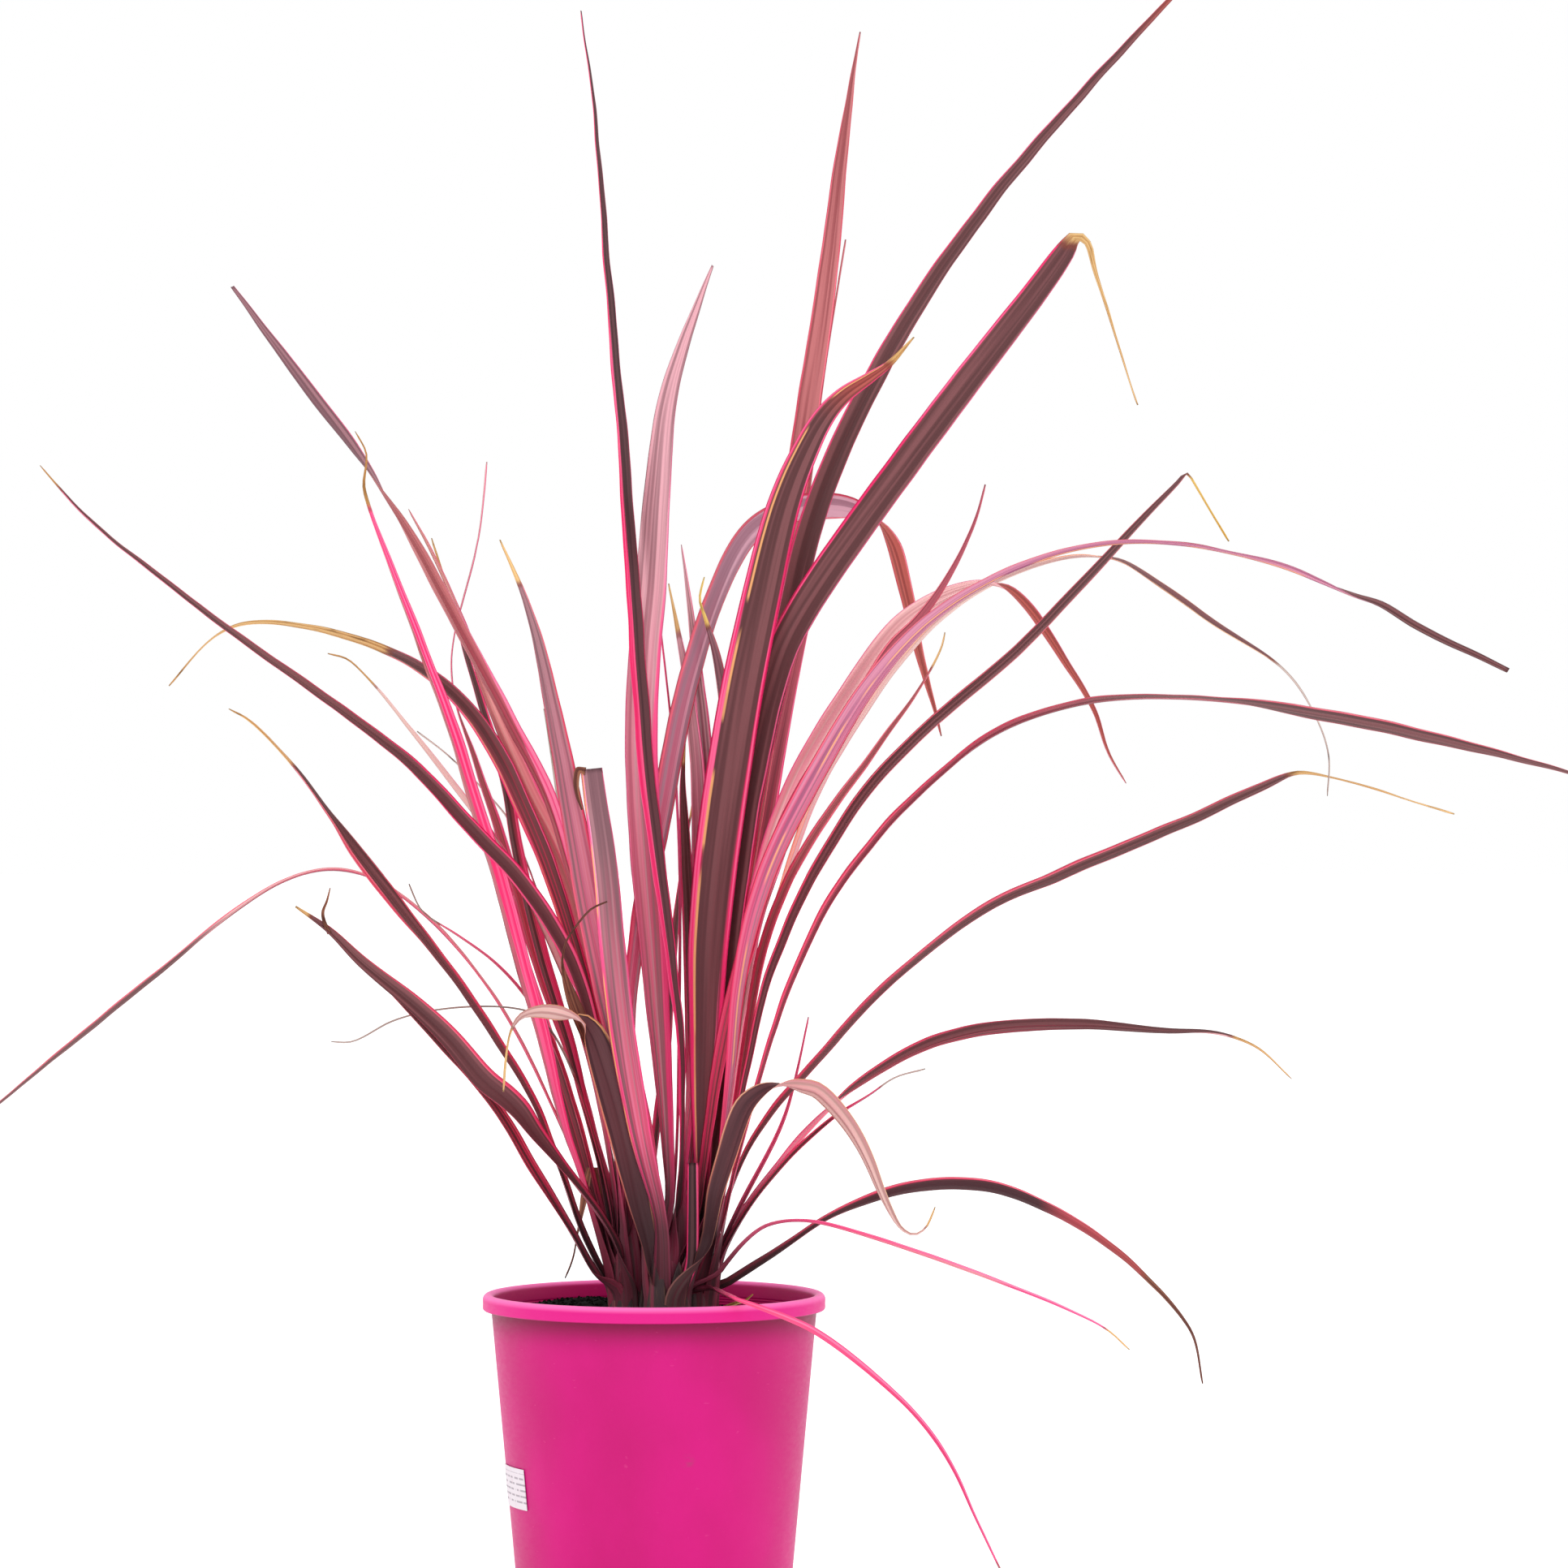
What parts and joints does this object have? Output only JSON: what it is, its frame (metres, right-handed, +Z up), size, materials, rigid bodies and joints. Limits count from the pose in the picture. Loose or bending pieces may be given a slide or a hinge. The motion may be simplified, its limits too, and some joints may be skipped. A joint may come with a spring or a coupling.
{
  "type": "potted cabbage palm",
  "caption": "Potted cabbage palm: a clump of pink-edged, dark strap leaves on short stems in a tapered nursery pot filled with potting mix.",
  "frame": {"origin": "centre of the pot's underside, on the surface it stands on", "axes": "+Z up, +X to the right and +Y away from the viewer, seen from the front"},
  "size_m": [1.0299, 0.4358, 1.062],
  "materials": {
    "pot_plastic": "satin moulded plastic, magenta",
    "potting_mix": "rough, damp, nearly black bark and peat",
    "stem_bark": "fibrous, reddish brown leaf sheaths",
    "leaf_skin": "satin strap leaf, dark burgundy with pink margins",
    "label_paper": "matt paper label"
  },
  "bodies": {
    "root": {"pot": "pot_plastic", "potting_mix": "potting_mix", "label": "label_paper", "stem_left": "stem_bark", "stem_middle": "stem_bark", "stem_right": "stem_bark", "leaf_left_01": "leaf_skin", "leaf_left_02": "leaf_skin", "leaf_left_03": "leaf_skin", "leaf_left_04": "leaf_skin", "leaf_left_05": "leaf_skin", "leaf_left_06": "leaf_skin", "leaf_left_07": "leaf_skin", "leaf_left_08": "leaf_skin", "leaf_left_09": "leaf_skin", "leaf_left_10": "leaf_skin", "leaf_left_11": "leaf_skin", "leaf_left_12": "leaf_skin", "leaf_left_13": "leaf_skin", "leaf_left_14": "leaf_skin", "leaf_left_15": "leaf_skin", "leaf_left_16": "leaf_skin", "leaf_left_17": "leaf_skin", "leaf_left_18": "leaf_skin", "leaf_left_19": "leaf_skin", "leaf_left_20": "leaf_skin", "leaf_middle_01": "leaf_skin", "leaf_middle_02": "leaf_skin", "leaf_middle_03": "leaf_skin", "leaf_middle_04": "leaf_skin", "leaf_middle_05": "leaf_skin", "leaf_middle_06": "leaf_skin", "leaf_middle_07": "leaf_skin", "leaf_middle_08": "leaf_skin", "leaf_middle_09": "leaf_skin", "leaf_middle_10": "leaf_skin", "leaf_right_01": "leaf_skin", "leaf_right_02": "leaf_skin", "leaf_right_03": "leaf_skin", "leaf_right_04": "leaf_skin", "leaf_right_05": "leaf_skin", "leaf_right_06": "leaf_skin", "leaf_right_07": "leaf_skin", "leaf_right_08": "leaf_skin", "leaf_right_09": "leaf_skin", "leaf_right_10": "leaf_skin", "leaf_right_11": "leaf_skin", "leaf_right_12": "leaf_skin", "leaf_right_13": "leaf_skin", "leaf_right_14": "leaf_skin", "leaf_right_15": "leaf_skin", "leaf_right_16": "leaf_skin", "leaf_right_17": "leaf_skin", "leaf_right_18": "leaf_skin", "leaf_right_19": "leaf_skin", "leaf_right_20": "leaf_skin", "leaf_back_01": "leaf_skin", "leaf_back_02": "leaf_skin", "leaf_back_03": "leaf_skin", "leaf_back_04": "leaf_skin"}
  },
  "joints": []
}
